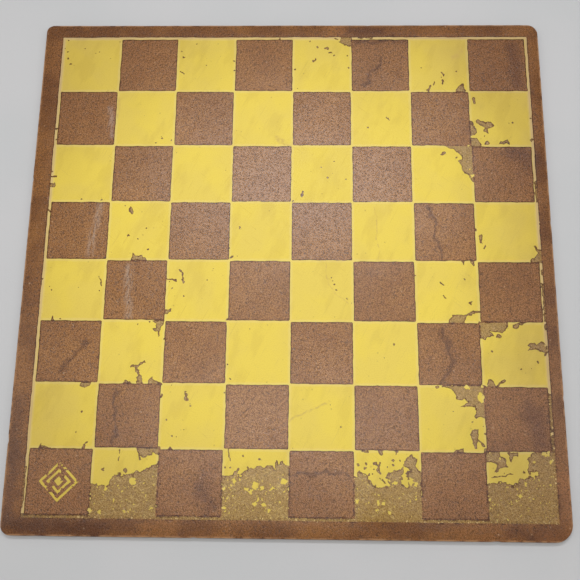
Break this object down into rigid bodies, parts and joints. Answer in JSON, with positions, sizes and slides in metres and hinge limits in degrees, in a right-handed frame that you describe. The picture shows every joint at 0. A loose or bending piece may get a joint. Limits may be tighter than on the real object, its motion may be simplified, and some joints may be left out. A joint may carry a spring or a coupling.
{
  "type": "reversible checkers and chinese checkers board",
  "caption": "Reversible one-piece hardboard game board: yellow printed checkers field on top, six-pointed star of marble pits underneath.",
  "frame": {"origin": "centre of the underside (the star face), where the board rests", "axes": "+Z out of the checkers face, +X to the right and +Y to the far edge as the checkers face is seen with its corner ornament at the near left"},
  "size_m": [0.381, 0.381, 0.0049],
  "materials": {
    "hardboard": "brown pressed-fibre hardboard, smooth satin face, fine dark fibre specks",
    "yellow_ink": "screen-printed yellow enamel, semi-gloss, chipped and flaked",
    "red_ink": "screen-printed red enamel, semi-gloss, worn round the pits",
    "green_ink": "screen-printed green enamel, semi-gloss, worn round the pits",
    "blue_ink": "screen-printed blue enamel, semi-gloss, worn round the pits",
    "white_ink": "screen-printed off-white enamel, semi-gloss, yellowed",
    "black_ink": "screen-printed black enamel, semi-gloss, worn round the pits"
  },
  "bodies": {
    "root": {"hardboard_panel": "hardboard", "checker_field_print": "yellow_ink", "corner_ornament_print": "yellow_ink", "star_centre_print": "yellow_ink", "star_outline_print": "black_ink", "reverse_border_print": "black_ink", "star_point_red_print": "red_ink", "star_point_yellow_print": "yellow_ink", "star_point_green_print": "green_ink", "star_point_black_print": "black_ink", "star_point_blue_print": "blue_ink", "star_point_white_print": "white_ink"}
  },
  "joints": []
}
